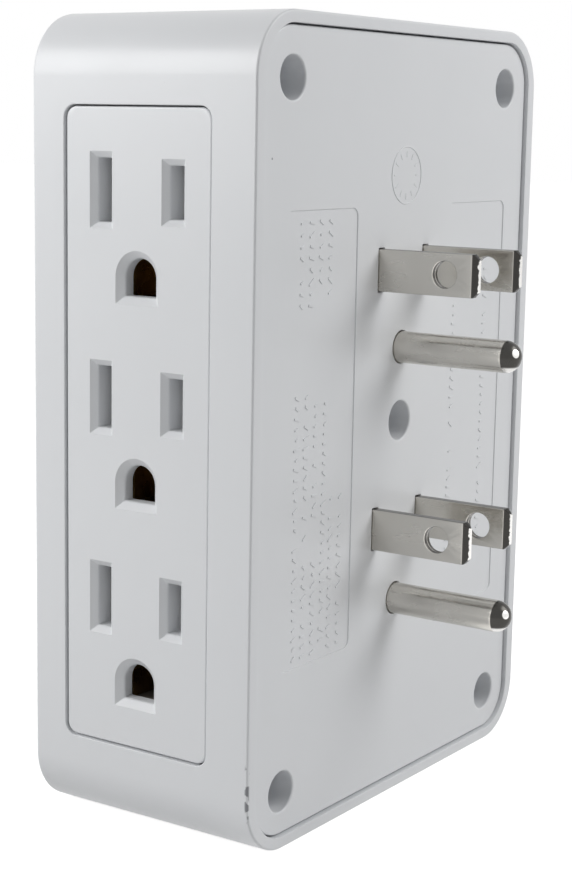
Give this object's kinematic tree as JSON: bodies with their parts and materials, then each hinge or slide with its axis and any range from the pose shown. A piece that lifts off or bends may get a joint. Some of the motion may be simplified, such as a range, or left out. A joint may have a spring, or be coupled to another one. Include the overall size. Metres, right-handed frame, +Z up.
{
  "type": "side outlet adapter",
  "caption": "Wall tap that plugs into both outlets of a duplex receptacle and has grounded outlets along its left and right sides.",
  "frame": {"origin": "the middle of the housing's flat bottom face", "axes": "+Z up, +Y to the wall, the way the blades and ground pins point; the outlets face +X and -X"},
  "size_m": [0.079, 0.0584, 0.1175],
  "materials": {
    "shell": "satin moulded plastic, cool white",
    "insulator": "matt moulded plastic",
    "brass": "stamped brass",
    "nickel": "nickel plated",
    "steel": "zinc plated"
  },
  "bodies": {
    "root": {"housing": "shell", "rear_cover": "shell", "outlet_face_right": "shell", "outlet_face_left": "shell", "contact_tray_right": "insulator", "contact_tray_left": "insulator", "prong_holder": "insulator", "line_strip_right": "brass", "ground_strip_right": "brass", "neutral_strip_right": "brass", "line_strip_left": "brass", "ground_strip_left": "brass", "neutral_strip_left": "brass", "line_link": "brass", "neutral_link": "brass", "ground_link": "brass", "upper_line_blade": "nickel", "upper_neutral_blade": "nickel", "lower_line_blade": "nickel", "lower_neutral_blade": "nickel", "upper_ground_pin": "nickel", "lower_ground_pin": "nickel", "upper_line_rivet": "steel", "upper_neutral_rivet": "steel", "lower_line_rivet": "steel", "lower_neutral_rivet": "steel", "cover_screw_upper_right": "steel", "cover_screw_upper_left": "steel", "cover_screw_lower_right": "steel", "cover_screw_lower_left": "steel", "cover_screw_centre": "steel"}
  },
  "joints": []
}
